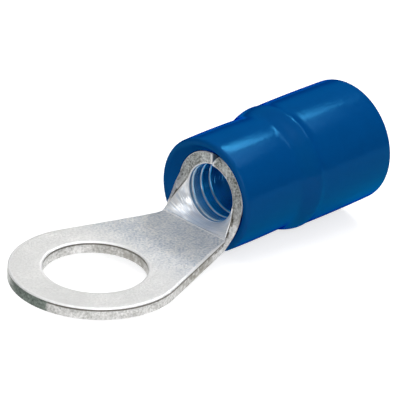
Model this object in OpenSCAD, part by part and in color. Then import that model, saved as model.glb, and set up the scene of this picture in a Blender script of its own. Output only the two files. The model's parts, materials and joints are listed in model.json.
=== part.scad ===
// Insulated crimp ring terminal for a 16 mm2 conductor and an M10 stud.
// A flat ring tongue and a rolled barrel are stamped from one strip of copper,
// and a stepped plastic sleeve is pushed over the barrel from behind the ring.
//
// Frame: origin at the centre of the stud hole, on the tongue's underside.
// +X runs along the barrel towards the wire entry, +Z points out of the top face.

/* [Ring tongue] */
// diameter of the hole for the stud
stud_hole_d = 10.5; // [8.4:0.1:12]
// outer diameter of the ring round the hole
ring_d = 17.4; // [16.5:0.1:20]
// thickness of the flat tongue
tongue_t = 1.3; // [1:0.05:1.6]
// width of the tongue where it starts to roll up into the barrel
neck_w = 8.7; // [7.6:0.1:9.4]

/* [Barrel] */
// distance from the stud centre to the mouth of the barrel
mouth_x = 16.05; // [15:0.05:22]
// length over which the flat strip rolls up into the round barrel
flare_len = 2.05; // [1.6:0.05:3]
// fillet between the side of the tongue and the mouth of the barrel
corner_r = 1.5; // [0.8:0.1:2]
// diameter of the bore that takes the bare conductor
bore_d = 6.2; // [5.6:0.1:7]
// wall of the rolled barrel
barrel_wall = 1.4; // [1.1:0.05:1.7]
// length of the barrel behind its mouth
barrel_len = 10; // [8:0.5:14]
// how far the underside of the barrel drops below the underside of the tongue
barrel_drop = 0.2; // [0:0.05:0.5]
// chamfer round the bore where the conductor enters
bore_chamfer = 0.3; // [0.1:0.05:0.5]

/* [Seam] */
// gap left between the two butted edges of the rolled strip
seam_gap = 0.08; // [0.04:0.02:0.2]
// width of the notch that the turned-down edge on the -Y side leaves along the top
seam_notch_w = 0.65; // [0.4:0.05:1]
// depth of that notch
seam_notch_depth = 1; // [0.3:0.05:1.1]

/* [Serrations] */
// number of grooves that bite into the conductor
groove_count = 3; // [2:1:6]
// distance from one groove to the next
groove_pitch = 1.25; // [1.1:0.05:1.4]
// width of a groove at the surface of the bore
groove_w = 0.36; // [0.24:0.02:0.6]
// depth of a groove
groove_depth = 0.16; // [0.1:0.02:0.3]
// distance from the mouth to the first groove
first_groove = 0.6; // [0.4:0.05:1]

/* [Sleeve] */
// gap all round between the barrel and the sleeve
sleeve_fit = 0.05; // [0.03:0.01:0.15]
// wall of the sleeve over the barrel
front_wall = 1.52; // [1.2:0.02:2]
// diameter of the bore that takes the insulated wire
wire_bore_d = 11; // [9.6:0.1:12]
// wall of the sleeve round the insulated wire
rear_wall = 1.1; // [0.8:0.05:1.5]
// how far the lip of the sleeve stands ahead of the mouth of the barrel
lip_ahead = 0.9; // [0.7:0.05:1.2]
// width of the flat crest between the outer and the inner rounding of the lip
lip_crest = 0.05; // [0.02:0.01:0.2]
// length of the front section, from the lip to the start of the shoulder
front_len = 7.9; // [6:0.1:10]
// length of the shoulder between the two sections
shoulder_len = 2.5; // [1.5:0.1:4]
// length of the rear section behind the shoulder
rear_len = 10.9; // [8:0.1:16]
// height of the bead that the mould leaves on top of the shoulder
shoulder_bead = 0.06; // [0.02:0.01:0.12]
// thickness of the collar that the end of the barrel butts against
collar_t = 0.5; // [0.3:0.05:1]
// length of the funnel that guides the strands into the barrel
funnel_len = 2.2; // [1:0.1:4]
// rounding of the lip
lip_r = 0.42; // [0.2:0.02:0.5]
// rounding of the rear rim
rim_r = 0.25; // [0.1:0.05:0.4]

/* [Hidden] */
$fn = 72;
// how far a cutter stands proud of what it cuts: past an end, and past a wall
eps = 0.01;
clear = 0.2;
// the neck reaches this far into the barrel's wall, and stays this far inside its surfaces
neck_root = 0.12;
neck_inset = 0.03;
// the bead on the shoulder stays full for this length, then fades out over the next
bead_full = 0.5;
bead_fade = 0.7;

// blank and barrel
ring_r = ring_d / 2;
neck_x = mouth_x - flare_len;
neck_y = neck_w / 2;
bore_r = bore_d / 2;
barrel_r = bore_r + barrel_wall;
mid_r = bore_r + barrel_wall / 2;
axis_z = barrel_r - barrel_drop;

// where the straight side of the tongue leaves the ring
neck_dist = sqrt(neck_x * neck_x + neck_y * neck_y);
leave_a = atan2(neck_y, neck_x) + acos(ring_r / neck_dist);
leave = [ring_r * cos(leave_a), ring_r * sin(leave_a)];
side_a = atan((neck_y - leave.y) / (neck_x - leave.x));

// centre of the fillet between the tongue's side and the mouth
fillet_c = [
  mouth_x - corner_r,
  neck_y + (mouth_x - corner_r - neck_x) * tan(side_a) + corner_r / cos(side_a)
];

// sleeve
sleeve_bore_r = barrel_r + sleeve_fit;
front_r = sleeve_bore_r + front_wall;
wire_bore_r = wire_bore_d / 2;
rear_r = wire_bore_r + rear_wall;
lip_x = mouth_x - lip_ahead;
shoulder_x = lip_x + front_len;
rear_x = shoulder_x + shoulder_len;
end_x = rear_x + rear_len;
barrel_end = mouth_x + barrel_len;
collar_x = barrel_end + sleeve_fit;
funnel_x = collar_x + collar_t;

// ---- rolled neck: the strip between the flat tongue and the round barrel ----

// stations along the neck as [x, half width of the strip there]; the last one
// roots the neck in the wall of the barrel
neck_stations = concat(
  [[neck_x, neck_y]],
  [for (a = [-10 : 10 : 90])
    let (x = fillet_c.x + corner_r * sin(a), y = fillet_c.y - corner_r * cos(a))
    if (x > neck_x + eps) [x, y]],
  [[mouth_x + neck_root, fillet_c.y]]
);
neck_steps = 20;

// how far the strip is rolled up at x, from 0 (flat) to 1 (round)
function rolled(x) = min(1, (x - neck_x) / flare_len);
function strip_t(u) = tongue_t + (barrel_wall - 2 * neck_inset - tongue_t) * u;
function strip_z(u) = tongue_t / 2 + (axis_z - mid_r - tongue_t / 2) * u;

// point of the strip's cross-section: s is the length along the strip from its
// middle, and side is 1 for the inner face and -1 for the outer face
function strip_point(x, s, side) =
  let (
    u = rolled(x),
    curve = u / mid_r,
    turn = s * curve * 180 / PI,
    flat = curve < 0.001,
    y = flat ? s : sin(turn) / curve,
    z = flat ? 0 : (1 - cos(turn)) / curve,
    half = side * strip_t(u) / 2
  )
  [x, y - half * sin(turn), strip_z(u) + z + half * cos(turn)];

module rolled_neck() {
  n = neck_steps;
  row = 2 * (n + 1);
  points = [
    for (st = neck_stations)
      for (k = [0 : row - 1])
        let (side = k <= n ? 1 : -1, j = k <= n ? k : row - 1 - k)
        strip_point(st[0], st[1] * (2 * j / n - 1), side)
  ];
  last = len(neck_stations) - 1;
  skin = [
    for (i = [0 : last - 1])
      for (k = [0 : row - 1])
        let (a = i * row + k, b = i * row + (k + 1) % row)
        each [[a, b, b + row], [a, b + row, a + row]]
  ];
  front = [
    for (j = [0 : n - 1])
      each [[j, row - 1 - j, row - 2 - j], [j, row - 2 - j, j + 1]]
  ];
  back = [for (f = front) [last * row + f[2], last * row + f[1], last * row + f[0]]];
  polyhedron(points, concat(skin, front, back), convexity = 6);
}

// ---- flat tongue with the stud hole ----

module ring_tongue() {
  linear_extrude(tongue_t)
    difference() {
      union() {
        circle(r = ring_r, $fn = 96);
        polygon([
          [0, 0],
          [leave.x, -leave.y],
          [neck_x, -neck_y],
          [neck_x, neck_y],
          [leave.x, leave.y]
        ]);
      }
      circle(d = stud_hole_d, $fn = 96);
    }
}

// ---- rolled barrel with its butt seam and serrations ----

// ring of metal that one serration removes, centred on x = 0
module groove() {
  rotate([0, 90, 0])
    rotate_extrude()
      polygon([
        [bore_r - clear, -groove_w / 2],
        [bore_r, -groove_w / 2],
        [bore_r + groove_depth, -groove_w / 5],
        [bore_r + groove_depth, groove_w / 5],
        [bore_r, groove_w / 2],
        [bore_r - clear, groove_w / 2]
      ]);
}

// butt seam along the top: a narrow gap, and over it the notch, whose +Y side is
// square to the barrel and whose -Y side is the slope of the turned-down edge
module seam(length) {
  floor_r = barrel_r - seam_notch_depth;
  top_r = barrel_r + clear;
  slope = seam_notch_w / seam_notch_depth;
  translate([-eps, 0, 0])
    rotate([90, 0, 90])
      linear_extrude(length + 2 * eps)
        polygon([
          [-seam_gap / 2, bore_r - clear - groove_depth],
          [seam_gap / 2, bore_r - clear - groove_depth],
          [seam_gap / 2, top_r],
          [-seam_gap / 2 - slope * (top_r - floor_r), top_r],
          [-seam_gap / 2, floor_r]
        ]);
}

module barrel() {
  translate([mouth_x, 0, axis_z])
    difference() {
      rotate([0, 90, 0])
        cylinder(r = barrel_r, h = barrel_len);
      translate([-eps, 0, 0])
        rotate([0, 90, 0])
          cylinder(r = bore_r, h = barrel_len + 2 * eps);
      translate([barrel_len - bore_chamfer, 0, 0])
        rotate([0, 90, 0])
          cylinder(r1 = bore_r, r2 = bore_r + bore_chamfer + eps, h = bore_chamfer + eps);
      for (i = [0 : groove_count - 1])
        translate([first_groove + i * groove_pitch, 0, 0])
          groove();
      seam(barrel_len);
    }
}

module terminal() {
  color([0.79, 0.79, 0.78]) {
    union() {
      ring_tongue();
      rolled_neck();
      barrel();
    }
  }
}

// ---- insulating sleeve ----

// smooth step from 0 to 1
function ease(t) = (1 - cos(180 * t)) / 2;

// quarter circle of radius r round c, from angle a0 to a1, as [radius, x] points
function arc(c, r, a0, a1, n = 5) =
  [for (i = [0 : n]) let (a = a0 + (a1 - a0) * i / n) c + r * [cos(a), sin(a)]];

// outline of the wall as [distance from the axis, x]
sleeve_outline = concat(
  // hollow front face, from the bore out to the rounded lip
  [[sleeve_bore_r, mouth_x + sleeve_fit]],
  arc([front_r - lip_r - lip_crest, lip_x + lip_r], lip_r, 240, 270, 3),
  arc([front_r - lip_r, lip_x + lip_r], lip_r, 285, 360, 5),
  // shoulder and the bead on top of it
  [for (i = [0 : 8])
    [front_r + (rear_r - front_r) * ease(i / 8) + shoulder_bead * pow(i / 8, 3),
     shoulder_x + shoulder_len * i / 8]],
  [[rear_r + shoulder_bead, rear_x + bead_full],
   [rear_r, rear_x + bead_full + bead_fade]],
  // rear rim
  arc([rear_r - rim_r, end_x - rim_r], rim_r, 0, 90, 4),
  arc([wire_bore_r + rim_r, end_x - rim_r], rim_r, 90, 180, 4),
  // wire bore, funnel, collar and barrel seat
  [[wire_bore_r, funnel_x + funnel_len],
   [bore_r, funnel_x],
   [bore_r, collar_x],
   [sleeve_bore_r, collar_x]]
);

module sleeve() {
  color([0.0, 0.3, 0.56])
    translate([0, 0, axis_z])
      rotate([0, 90, 0])
        rotate_extrude($fn = 72)
          polygon(sleeve_outline);
}

terminal();
sleeve();
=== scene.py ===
# %% [markdown]
# # A ring terminal in its blue sleeve
# The object is a cable lug for a screw stud. A flat ring is stamped from tinned copper, its
# tail is rolled up into a barrel, and a moulded blue sleeve is pushed over that barrel. The
# measured model could be shaded as it is, but its edges are knife sharp, and rounded edges are
# what catches the light. So this lesson makes both parts again the way a factory does: the
# metal as a flat blank that is rolled, the sleeve as a turned profile. Both are then laid on a
# white table under soft light.
# %% Load the measured model
import json
import math

import bmesh
import bpy
import numpy as np
from mathutils import Matrix, Vector
from mathutils.geometry import delaunay_2d_cdt


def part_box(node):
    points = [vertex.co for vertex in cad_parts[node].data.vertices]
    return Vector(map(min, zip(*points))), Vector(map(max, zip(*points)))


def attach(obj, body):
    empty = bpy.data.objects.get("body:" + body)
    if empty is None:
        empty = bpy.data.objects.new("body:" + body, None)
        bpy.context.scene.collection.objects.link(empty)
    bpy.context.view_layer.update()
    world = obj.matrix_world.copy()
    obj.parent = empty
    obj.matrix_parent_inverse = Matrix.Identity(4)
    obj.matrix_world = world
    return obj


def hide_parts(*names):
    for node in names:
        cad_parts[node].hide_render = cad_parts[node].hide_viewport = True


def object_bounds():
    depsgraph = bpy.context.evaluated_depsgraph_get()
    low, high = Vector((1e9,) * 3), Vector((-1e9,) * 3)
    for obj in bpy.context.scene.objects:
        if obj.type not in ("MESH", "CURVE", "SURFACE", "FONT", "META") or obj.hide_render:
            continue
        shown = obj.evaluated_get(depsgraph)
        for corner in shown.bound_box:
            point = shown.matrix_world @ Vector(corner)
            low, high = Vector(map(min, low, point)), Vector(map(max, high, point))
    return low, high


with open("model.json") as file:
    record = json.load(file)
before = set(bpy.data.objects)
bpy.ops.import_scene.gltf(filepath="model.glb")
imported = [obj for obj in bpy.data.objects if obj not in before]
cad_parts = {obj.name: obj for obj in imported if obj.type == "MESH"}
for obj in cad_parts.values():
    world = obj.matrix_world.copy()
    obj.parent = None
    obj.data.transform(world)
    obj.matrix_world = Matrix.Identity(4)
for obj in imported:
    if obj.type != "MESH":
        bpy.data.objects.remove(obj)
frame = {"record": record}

cad_low, cad_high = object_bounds()
MM = 0.001
terminal_low, terminal_high = (np.array(corner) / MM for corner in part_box("terminal"))
sleeve_low, sleeve_high = (np.array(corner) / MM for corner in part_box("sleeve"))
mounts = {mount["name"]: mount for mount in frame["record"]["mounts"]}
print("terminal box, mm:", terminal_low.round(2), terminal_high.round(2))
print("sleeve box, mm:", sleeve_low.round(2), sleeve_high.round(2))

# %% [markdown]
# ## The camera
# The part is under five centimetres long. It could be seen from close by with a wide lens, but
# the ring would look swollen beside the sleeve, so a long lens looks from a good distance.
# The view is set by an azimuth, an elevation and a slight roll, in degrees. The camera's place
# is given along its own axes, in millimetres from the stud hole, which makes it easy to nudge.
# Colours are shown by the Standard view, so that a colour looks the way it is written.
# %% Place the camera
VIEW = {"azimuth": -47.272, "elevation": 26.618, "roll": 3.664}
ASIDE, ABOVE, DISTANCE = 10.412, 7.742, 314.694
LENS, SENSOR_WIDTH = 285.81, 36


def look_axes(azimuth, elevation, roll):
    """Right, up and backward directions of a camera that looks from that side."""
    a, e, r = (math.radians(d) for d in (azimuth, elevation, roll))
    back = Vector((math.sin(a) * math.cos(e), -math.cos(a) * math.cos(e), math.sin(e)))
    level = Vector((math.cos(a), math.sin(a), 0))
    upright = back.cross(level)
    right = level * math.cos(r) + upright * math.sin(r)
    up = upright * math.cos(r) - level * math.sin(r)
    return right, up, back


def add_camera():
    right, up, back = look_axes(**VIEW)
    data = bpy.data.cameras.new("table_camera")
    data.lens, data.sensor_width = LENS, SENSOR_WIDTH
    data.clip_start, data.clip_end = 0.01, 20
    camera = bpy.data.objects.new("table_camera", data)
    place = (right * ASIDE + up * ABOVE + back * DISTANCE) * MM
    turn = Matrix((right, up, back)).transposed().to_4x4()
    camera.matrix_world = Matrix.Translation(place) @ turn
    bpy.context.scene.collection.objects.link(camera)
    bpy.context.scene.camera = camera
    return camera


camera = add_camera()
bpy.context.scene.view_settings.view_transform = "Standard"
print("camera at, mm:", [round(c / MM, 1) for c in camera.location])

# %% [markdown]
# ## Helpers for node materials
# Every finish of the real part is built from nodes. They could be added and linked line by
# line, but then the idea of a finish is lost among the lines. A few short helpers keep it
# readable. The first two add a node and fill its sockets, and do one step of arithmetic.
# %% Nodes
def add_node(tree, kind, inputs=None, **settings):
    """A node of that kind; inputs are values, or output sockets to link."""
    node = tree.nodes.new(kind)
    for name, value in settings.items():
        setattr(node, name, value)
    for name, value in (inputs or {}).items():
        socket = node.inputs[name]
        if isinstance(value, bpy.types.NodeSocket):
            tree.links.new(value, socket)
        else:
            socket.default_value = value
    return node


def maths(tree, operation, first, second=0.0, clamp=False):
    """One step of arithmetic on two values or sockets."""
    node = add_node(tree, "ShaderNodeMath", {0: first, 1: second}, operation=operation)
    node.use_clamp = clamp
    return node.outputs[0]


print("nodes are made in Blender", bpy.app.version_string)

# %% [markdown]
# ## Starting a material or a group
# A material holds what one finish needs. What several finishes need is a node group, which could
# be drawn by hand in the Shader Editor, but made here it keeps its sockets' names and defaults
# in one readable place. One helper starts each of them.
# %% Materials and groups
def start_material(name):
    """A new material and its tree, its Principled BSDF already linked to the output."""
    material = bpy.data.materials.new(name)
    material.use_nodes = True
    tree = material.node_tree
    shader = next(n for n in tree.nodes if n.type == "BSDF_PRINCIPLED")
    return material, tree, shader


def start_group(name, inputs, outputs):
    """A node group with named sockets, inputs given as {name: default}."""
    group = bpy.data.node_groups.new(name, "ShaderNodeTree")
    for socket, default in inputs.items():
        kind = "NodeSocketVector" if isinstance(default, tuple) else "NodeSocketFloat"
        made = group.interface.new_socket(socket, in_out="INPUT", socket_type=kind)
        made.default_value = default
    for socket in outputs:
        group.interface.new_socket(socket, in_out="OUTPUT", socket_type="NodeSocketFloat")
    return group, group.nodes.new("NodeGroupInput"), group.nodes.new("NodeGroupOutput")


# %% [markdown]
# ## Helpers for masks
# Finishes on a real part change over a certain stretch: matt here, bright a millimetre further
# on. A colour ramp could do this, but its stops are shares from 0 to 1, which say nothing about
# a size. Here a mask fades over a span that is given in the unit of the value that drives it,
# mostly millimetres. So the helpers are a place in millimetres, a fade in and a fade out.
# %% Fades
def place_mm(tree):
    """Object coordinates in millimetres."""
    where = add_node(tree, "ShaderNodeTexCoord")
    scaled = add_node(tree, "ShaderNodeVectorMath", {
        0: where.outputs["Object"], "Scale": 1 / MM}, operation="SCALE")
    return scaled.outputs[0]


def spread(tree, value, low, high, span=(0.0, 1.0), smooth=False):
    """Leads the value's span over to low..high."""
    node = add_node(tree, "ShaderNodeMapRange", {
        "Value": value, "From Min": span[0], "From Max": span[1], "To Min": low, "To Max": high})
    node.interpolation_type = "SMOOTHSTEP" if smooth else "LINEAR"
    return node.outputs[0]


def fade_in(tree, value, span, smooth=False):
    """0 before the span and 1 behind it."""
    return spread(tree, value, 0, 1, span, smooth)


def fade_out(tree, value, span=(0.0, 1.0), smooth=False):
    """1 before the span and 0 behind it."""
    return spread(tree, value, 1, 0, span, smooth)


print("places are scaled by", 1 / MM, "so that spans are in mm")

# %% [markdown]
# ## Mixers and bump
# A mask is only useful once it mixes something: two colours, such as clean and stained metal,
# or two numbers, such as two roughnesses. The Mix node does both, but its sockets differ, so
# there are two helpers. The third leads a height into the shader's normal, which is enough for
# grain that is too fine to model.
# %% Mixers and bump
def tint(tree, value, dark, light):
    """Mixes two colours by a mask; either may be a socket."""
    node = add_node(tree, "ShaderNodeMix", data_type="RGBA")
    tree.links.new(value, node.inputs["Factor"])
    for socket, colour in (("A", dark), ("B", light)):
        if isinstance(colour, bpy.types.NodeSocket):
            tree.links.new(colour, node.inputs[socket])
        else:
            node.inputs[socket].default_value = (*colour, 1)
    return node.outputs["Result"]


def blend(tree, value, first, second):
    """Mixes two numbers or sockets by a mask."""
    return add_node(tree, "ShaderNodeMix", {"Factor": value, "A": first, "B": second}).outputs[0]


def add_bump(tree, shader, height, strength, relief_mm):
    """Leads a height through a Bump node into the shader."""
    bump = add_node(tree, "ShaderNodeBump", {
        "Strength": strength, "Distance": relief_mm * MM, "Height": height})
    tree.links.new(bump.outputs[0], shader.inputs["Normal"])


print("a relief of 1 mm is", MM, "in the units of the scene")

# %% [markdown]
# ## Grain that several finishes share
# Tin, a sheared edge and moulded plastic all have grain, only of other sizes and depths. Each
# material could hold its own noises, but then one idea would stand in the file four times. One
# group makes the grain from a fine and a wide noise. It puts out a mask between 0 and 1 for
# colour and gloss, and a height for bump. Each material gives its own size of grain in
# millimetres, its contrast, and how much of the mask comes from wide blotches.
# %% The grain group
BLOTCH_SIZE = 6.0


def make_grain_group():
    group, given, result = start_group(
        "fine_grain",
        {"Place": (0.0, 0.0, 0.0), "Grain mm": 0.3, "Contrast": 1.0, "Blotches": 0.5},
        ("Mask", "Height"),
    )
    size = maths(group, "DIVIDE", 1.0, given.outputs["Grain mm"])
    wide_size = maths(group, "DIVIDE", size, BLOTCH_SIZE)
    fine = add_node(group, "ShaderNodeTexNoise", {
        "Vector": given.outputs["Place"], "Scale": size, "Detail": 3.0, "Roughness": 0.6})
    wide = add_node(group, "ShaderNodeTexNoise", {
        "Vector": given.outputs["Place"], "Scale": wide_size, "Detail": 2.0})
    both = add_node(group, "ShaderNodeMix", {
        "Factor": given.outputs["Blotches"], "A": fine.outputs[0], "B": wide.outputs[0]})
    centred = maths(group, "SUBTRACT", both.outputs[0], 0.5)
    scaled = maths(group, "MULTIPLY", centred, given.outputs["Contrast"])
    mask = maths(group, "ADD", scaled, 0.5, clamp=True)
    group.links.new(mask, result.inputs["Mask"])
    group.links.new(fine.outputs[0], result.inputs["Height"])
    return group


grain_group = make_grain_group()


def add_grain(tree, place, grain_mm, contrast, blotches):
    """The group, placed in a material with its own values; puts out its sockets."""
    node = add_node(tree, "ShaderNodeGroup", node_tree=grain_group)
    tree.links.new(place, node.inputs["Place"])
    node.inputs["Grain mm"].default_value = grain_mm
    node.inputs["Contrast"].default_value = contrast
    node.inputs["Blotches"].default_value = blotches
    return node.outputs


print("made the group", grain_group.name, "with", len(grain_group.nodes), "nodes")

# %% [markdown]
# ## Sizes of the blank
# The metal starts as a flat blank: a ring, two straight sides that run in to a neck, a fillet
# on each side, and a wide tail that becomes the barrel. Rolled up, a line across the tail
# turns into a circle, so the tail is as wide as the middle of the barrel's wall is long. Every
# size could be typed in, but whatever the measured model states is read from it, so that both
# stay the same part. Lengths are in millimetres.
# %% Read the sizes
HOLE_R = mounts["stud_hole"]["dims"]["r_mm"]
TONGUE_T = mounts["stud_hole"]["dims"]["length_mm"]
BORE_R = mounts["conductor_bore"]["dims"]["r_mm"]
AXIS_Z = mounts["conductor_bore"]["pos_m"][2] / MM
RING_R = float(terminal_high[1])
BARREL_R = round(AXIS_Z - float(terminal_low[2]), 3)
BARREL_END = float(terminal_high[0])
BARREL_LENGTH = 10.0
MOUTH_X = BARREL_END - BARREL_LENGTH
NECK_X, NECK_Y = MOUTH_X - 2.05, 4.35
FILLET_R = {1: 2.3, -1: 1.5}
SEAM_HALF = 0.04
GROOVE_FIRST, GROOVE_PITCH, GROOVE_COUNT = 0.6, 1.25, 3
GROOVE_HALF, GROOVE_FLOOR, GROOVE_DEPTH = 0.18, 0.072, 0.16
WALL = BARREL_R - BORE_R
MID_R = (BORE_R + BARREL_R) / 2
HALF_TAIL = math.pi * MID_R - SEAM_HALF

neck_distance = math.hypot(NECK_X, NECK_Y)
LEAVE_ANGLE = math.atan2(NECK_Y, NECK_X) + math.acos(RING_R / neck_distance)
SIDE_ANGLE = LEAVE_ANGLE - math.pi / 2
print("the tail is", round(2 * HALF_TAIL, 2), "mm wide, the mouth is at", round(MOUTH_X, 2))

# %% [markdown]
# ## Where a point of the barrel lies
# One sheet of metal makes the whole terminal, but its skin changes from place to place. The
# mesh could be split into many materials, but that draws hard borders. Instead, masks worked
# out from the place of a point lead from one look to the next. For the barrel they tell inside
# from outside, the cut rim, how deep a point lies, and the crests of the grooves, which are
# found by folding the length of the barrel at every pitch.
# %% Masks over the barrel
BARREL_FADE = (MOUTH_X - 0.02, MOUTH_X)
OUTSIDE_FADE = (BORE_R + 0.2, BORE_R + 0.3)
RIM_FADE = (MOUTH_X + 0.1, MOUTH_X + 0.16)
DEEP_FADE, DEEPER_FADE = (MOUTH_X + 0.2, MOUTH_X + 1.8), (MOUTH_X + 1.4, MOUTH_X + 3.8)
CREST_FADE = (0.09, 0.16)
last_groove = MOUTH_X + GROOVE_FIRST + GROOVE_PITCH * (GROOVE_COUNT - 1)
GROOVED_FADE = (last_groove + 0.3, last_groove + 0.4)


def from_axis(tree, place):
    """Distance from the axis of the barrel, in mm."""
    offset = add_node(tree, "ShaderNodeVectorMath", {
        0: place, 1: (0, 0, AXIS_Z)}, operation="SUBTRACT").outputs[0]
    across = add_node(tree, "ShaderNodeVectorMath", {
        0: offset, 1: (0, 1, 1)}, operation="MULTIPLY").outputs[0]
    return add_node(tree, "ShaderNodeVectorMath", {0: across}, operation="LENGTH").outputs["Value"]


def barrel_masks(tree, place, along):
    """Masks by the distance behind the mouth, and one by the distance from the axis."""
    from_first = maths(tree, "SUBTRACT", along, MOUTH_X + GROOVE_FIRST)
    from_groove = maths(tree, "PINGPONG", from_first, GROOVE_PITCH / 2)
    crest = fade_out(tree, from_groove, CREST_FADE)
    return {
        "barrel": fade_in(tree, along, BARREL_FADE),
        "outside": fade_in(tree, from_axis(tree, place), OUTSIDE_FADE),
        "rim": fade_out(tree, along, RIM_FADE),
        "crest": maths(tree, "MULTIPLY", crest, fade_out(tree, along, GROOVED_FADE)),
        "deep": fade_in(tree, along, DEEP_FADE),
        "deeper": fade_in(tree, along, DEEPER_FADE),
    }


print("the last crest lies", round(last_groove - MOUTH_X, 2), "mm inside the barrel")

# %% [markdown]
# ## Where a point of the strip lies
# The tongue is frosted by its tin and the neck behind the bend is drawn smooth. Every rounded
# edge and the bend line get a painted highlight. Edges could be found by the Pointiness of the
# surface, but that changes with the density of the mesh. So the mesh itself will store on its
# points how far each has turned into a rounding, and these masks read it back.
# %% Masks over the strip
NECK_FADE = (3.0, 9.0)
DRAWN_FADE = (NECK_X - 0.1, NECK_X + 0.3)
ROUNDED_FADE = (0.05, 0.5)
RIDGE_FADE = (0.05, 0.11)


def stored(tree, name):
    """A value that is stored on the points of the mesh."""
    return add_node(tree, "ShaderNodeAttribute", attribute_name=name).outputs["Fac"]


def strip_masks(tree, along, barrel):
    """Masks along the tongue and the neck, and one for painted highlights on edges and bend."""
    from_ridge = maths(tree, "ABSOLUTE", maths(tree, "SUBTRACT", along, NECK_X))
    # Rounded edges and the bend line get a painted highlight.
    rounded = fade_in(tree, stored(tree, "edge_bend"), ROUNDED_FADE)
    edges = maths(tree, "MULTIPLY", rounded, fade_out(tree, barrel))
    return {
        "near_neck": fade_in(tree, along, NECK_FADE, smooth=True),
        "drawn": fade_in(tree, along, DRAWN_FADE, smooth=True),
        "highlighted_edges": maths(tree, "MAXIMUM", edges, fade_out(tree, from_ridge, RIDGE_FADE)),
    }


print("the frost changes between x =", *NECK_FADE, "and ends at the neck, x =", round(NECK_X, 2))

# %% [markdown]
# ## Colours of the tin
# The tongue is grey tin with lighter flecks, which are the crystals of the coat, and broad
# stains from handling. Near the neck the flecks stand on a blue ground, a painted reflection of
# the sleeve. The drawn neck shows lines that run across the strip, in a blue that is a painted
# reflection of the sleeve and a white that is painted glare. Inside the barrel little white
# light arrives, only what has passed the blue sleeve. The plastic could be made to let light
# through, but hardly any of it arrives that way, so that light is painted on the wall: a deep
# blue, darker deeper in, pale painted highlights on the crests of the grooves, a painted white
# highlight on the cut rim and a painted blue reflection on the outside of the barrel.
# %% Tin colours
# The blue ground near the neck is a painted reflection of the blue sleeve.
GREY_TIN, SLEEVE_REFLECTION_TIN = (0.72, 0.72, 0.71), (0.44, 0.50, 0.58)
STAINED_TIN, CLEAN_TIN = (0.72, 0.725, 0.715), (0.92, 0.915, 0.90)
# The drawn lines are real; their blue is a painted reflection of the sleeve, their white painted
# glare.
DRAWN_LINES_BLUE_REFLECTION, DRAWN_LINES_GLARE = (0.72, 0.79, 0.88), (1.0, 1.0, 1.0)
# Painted light in the bore: the blue light that passes the sleeve, darker deeper in.
BORE_BLUE_LIGHT_NEAR, BORE_BLUE_LIGHT_DEEP = (0.42, 0.70, 0.88), (0.002, 0.40, 0.86)
# Painted highlights on the crests of the grooves, dimmer deeper in.
CREST_HIGHLIGHT_NEAR, CREST_HIGHLIGHT_DEEP = (1.0, 1.0, 1.0), (0.50, 0.72, 0.90)
# Outside the barrel a painted blue reflection of the sleeve; on the cut rim of the bore a painted
# white highlight.
# The edge colour is a painted highlight on rounded edges and the bend line.
BARREL_BLUE_REFLECTION, RIM_HIGHLIGHT, EDGE_HIGHLIGHT = (0.60, 0.80, 0.92), (0.97, 0.97, 0.97), (0.94, 0.94, 0.94)
FLECK_FADE, LINE_FADE = (0.1, 0.8), (0.35, 0.65)


def strip_colour(tree, masks, frost, stains, marks):
    """The tongue and the neck."""
    # Near the neck the ground turns into a painted blue reflection of the sleeve.
    ground = tint(tree, masks["near_neck"], GREY_TIN, SLEEVE_REFLECTION_TIN)
    fleck = tint(tree, stains, STAINED_TIN, CLEAN_TIN)
    plain = tint(tree, fade_in(tree, frost, FLECK_FADE), ground, fleck)
    # Drawn lines in a painted blue reflection and a painted glare.
    lined = tint(tree, fade_in(tree, marks, LINE_FADE), DRAWN_LINES_BLUE_REFLECTION, DRAWN_LINES_GLARE)
    return tint(tree, masks["drawn"], plain, lined)


def barrel_colour(tree, masks):
    """The barrel, with painted blue light and highlights inside and a painted reflection outside.
    """
    # Painted blue light in the bore, darker deeper in.
    bore = tint(tree, masks["deep"], BORE_BLUE_LIGHT_NEAR, BORE_BLUE_LIGHT_DEEP)
    # Outside the bore a painted blue reflection of the sleeve.
    wall = tint(tree, masks["outside"], bore, BARREL_BLUE_REFLECTION)
    # Painted highlights on the crests of the grooves.
    crest = tint(tree, masks["deeper"], CREST_HIGHLIGHT_NEAR, CREST_HIGHLIGHT_DEEP)
    # A painted white highlight on the cut rim of the bore.
    return tint(tree, masks["rim"], tint(tree, masks["crest"], wall, crest), RIM_HIGHLIGHT)


print("tin flecks from", STAINED_TIN, "to", CLEAN_TIN)

# %% [markdown]
# ## Tinned copper
# A thin coat of matt tin scatters much of the light like paint and mirrors the rest with a
# soft blur, so the metal is only partly metallic. It could be plain metal with a rough surface,
# but that turns dark wherever the room is dark, and matt tin does not. A bump raises the
# crystals. Where the strip was drawn into the barrel the coat is burnished: smoother, and with
# faint ribs instead of crystals. Of each pair below, the first value holds on the ring and the
# second at the neck.
# %% Relief and metal of the tin
MARKS_PER_MM = (9.0, 0.5, 0.5)
METALLIC, BARREL_METALLIC, RIM_METALLIC = (0.62, 0.42), 0.28, 0.2
CRYSTAL_HEIGHT, RIB_HEIGHT = (0.5, 1.6), 0.35


def drawing_marks(tree, place):
    """Noise that is squeezed along the part, so that it runs in lines across the strip."""
    squeezed = add_node(tree, "ShaderNodeVectorMath", {
        0: place, 1: MARKS_PER_MM}, operation="MULTIPLY").outputs[0]
    return add_node(tree, "ShaderNodeTexNoise", {
        "Vector": squeezed, "Scale": 1.0, "Detail": 2.0}).outputs[0]


def tin_height(tree, masks, frost, marks):
    """Crystals that stand higher near the neck, and faint ribs behind it."""
    crystals = maths(tree, "MULTIPLY", frost, spread(tree, masks["near_neck"], *CRYSTAL_HEIGHT))
    ribs = maths(tree, "MULTIPLY", marks, RIB_HEIGHT)
    return blend(tree, masks["drawn"], crystals, ribs)


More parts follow.
